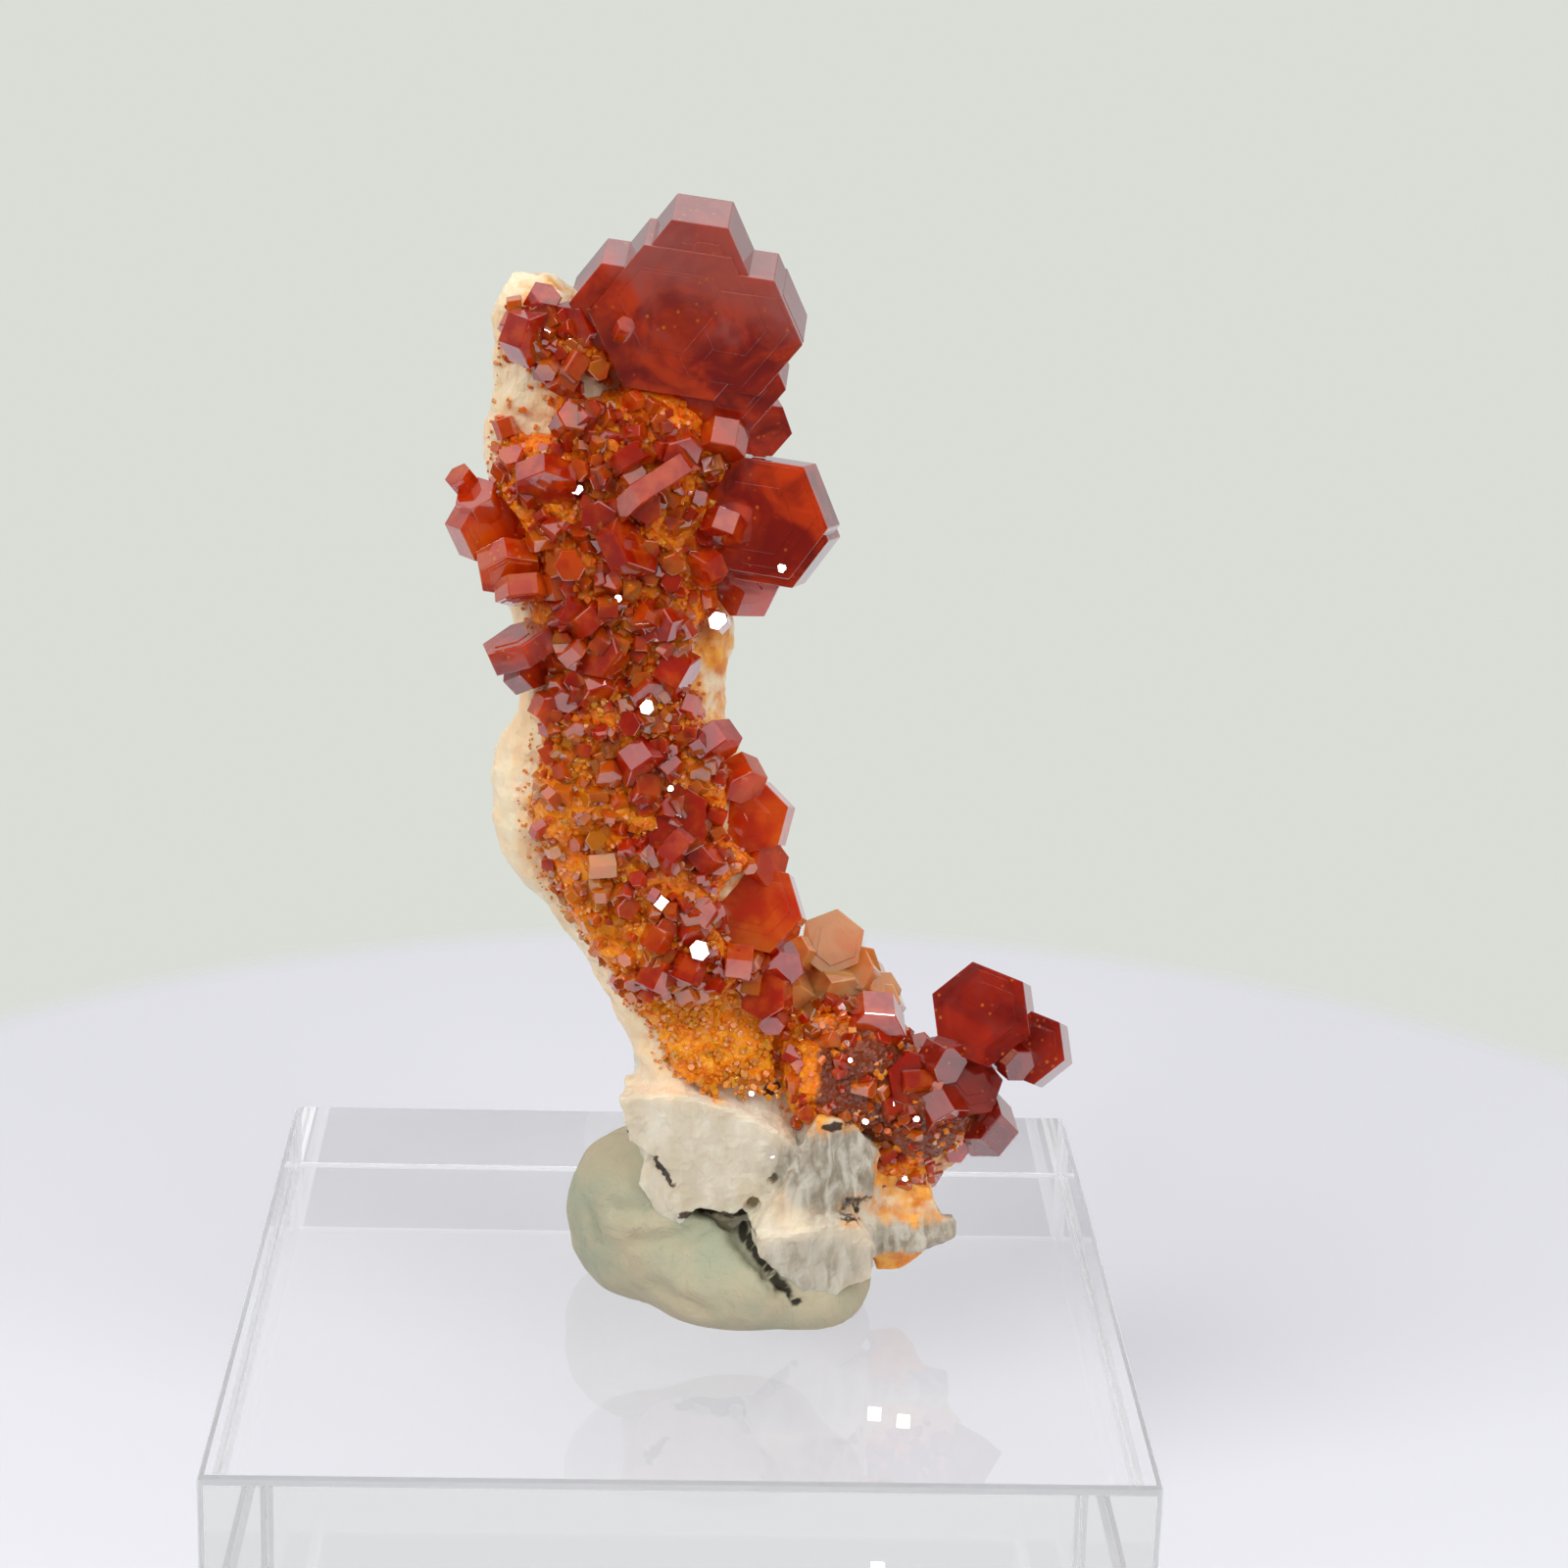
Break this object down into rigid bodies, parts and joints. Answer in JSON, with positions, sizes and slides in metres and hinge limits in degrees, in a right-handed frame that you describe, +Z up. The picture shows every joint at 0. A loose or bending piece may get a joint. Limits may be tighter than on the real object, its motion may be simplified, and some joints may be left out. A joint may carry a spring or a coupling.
{
  "type": "vanadinite on barite",
  "caption": "Bent blade of cream barite coated with hexagonal red vanadinite crystals, held upright by mineral tack on a clear acrylic block.",
  "frame": {"origin": "middle of the acrylic block's underside", "axes": "+Z up, +X to the right and -Y towards the viewer of the crystal-covered front"},
  "size_m": [0.038, 0.038, 0.0575],
  "materials": {
    "clear_acrylic": "clear, polished",
    "mineral_tack": "soft and matt",
    "cream_barite": "translucent, broken, slightly glossy",
    "red_vanadinite": "vitreous, deep red with orange edges",
    "orange_vanadinite": "vitreous, orange to amber"
  },
  "bodies": {
    "root": {"acrylic_base": "clear_acrylic", "mineral_tack": "mineral_tack", "barite_matrix": "cream_barite", "crown_crystals": "red_vanadinite", "shoulder_crystals": "red_vanadinite", "flank_crystals": "red_vanadinite", "left_tablet_crystals": "red_vanadinite", "right_edge_crystals": "red_vanadinite", "arm_back_crystals": "red_vanadinite", "arm_crystals": "red_vanadinite", "vanadinite_druse": "orange_vanadinite"}
  },
  "joints": []
}
